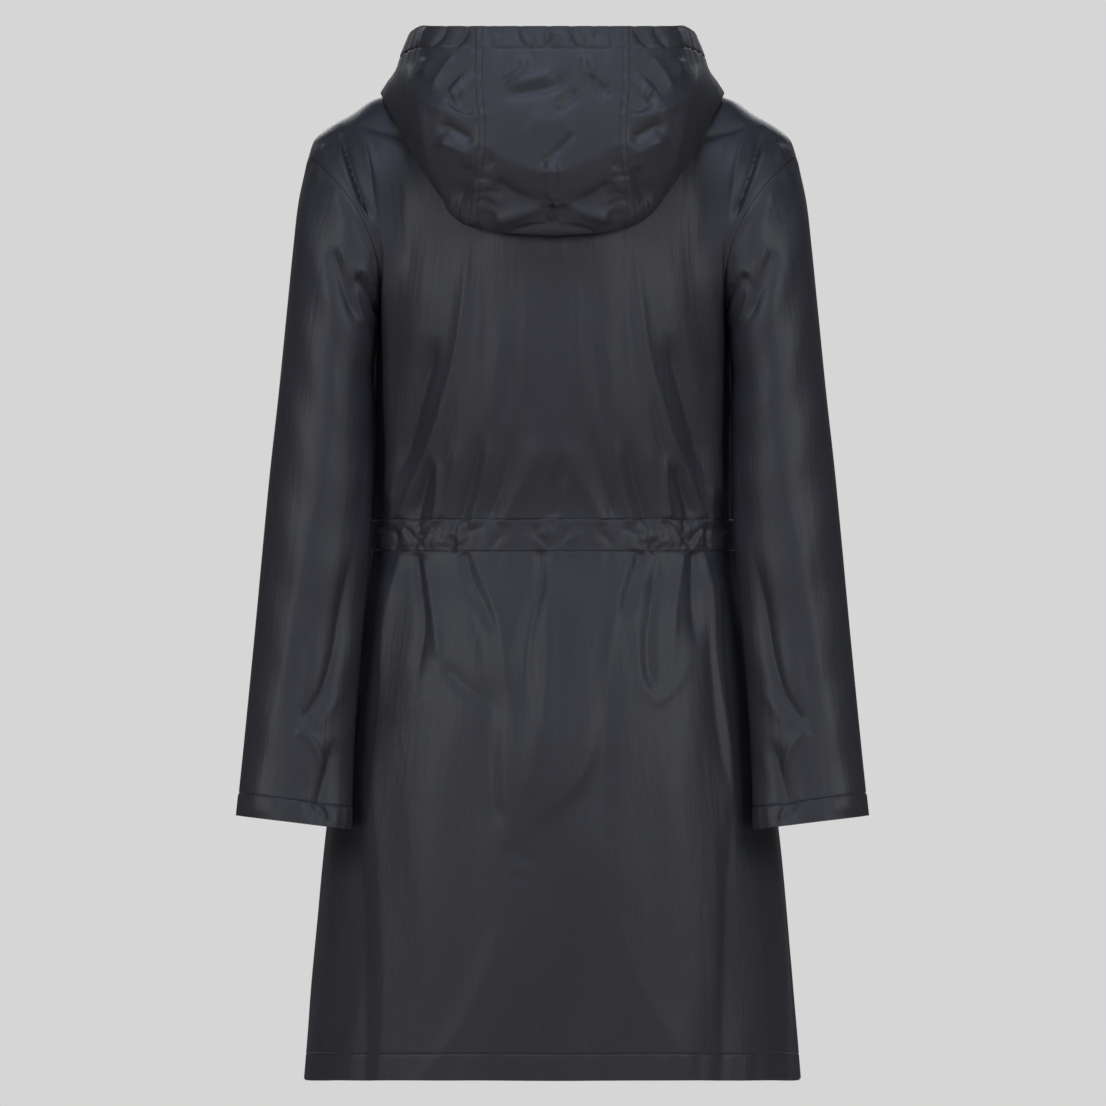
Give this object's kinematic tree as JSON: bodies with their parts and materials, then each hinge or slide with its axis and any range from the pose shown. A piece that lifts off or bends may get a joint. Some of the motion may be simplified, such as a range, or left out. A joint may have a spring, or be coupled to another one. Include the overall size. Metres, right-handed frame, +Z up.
{
  "type": "longline hooded rain parka",
  "caption": "Thigh-length unlined rain parka in its worn hollow shape, hood folded down, drawn-in waist, full-length zip.",
  "frame": {"origin": "centre of the neck base, where the coat hangs on the wearer's neck and shoulders", "axes": "+Z up along the body, -Y out of the coat's front, +X to the wearer's left arm"},
  "size_m": [0.5944, 0.3437, 0.9918],
  "materials": {
    "shell_cloth": "thin coated taffeta, soft sheen",
    "zip_cloth": "woven tape, matt",
    "zip_coil": "moulded teeth, satin",
    "zip_metal": "dark gunmetal, satin"
  },
  "bodies": {
    "coat": {"back": "shell_cloth", "front_left": "shell_cloth", "front_right": "shell_cloth", "sleeve_left": "shell_cloth", "sleeve_right": "shell_cloth", "hood_centre": "shell_cloth", "hood_side_left": "shell_cloth", "hood_side_right": "shell_cloth", "waist_casing": "shell_cloth", "zip_tape_left": "zip_cloth", "zip_tape_right": "zip_cloth", "zip_chain": "zip_coil", "zip_slider": "zip_metal"},
    "pull_tab": {"zip_pull": "zip_metal"}
  },
  "joints": [
    {"name": "pull_tab_hinge", "type": "hinge", "parent": "coat", "child": "pull_tab", "pos_m": [0, -0.09824, -0.08475], "axis": [-1, 0, 0], "range_deg": [0, 150]}
  ]
}
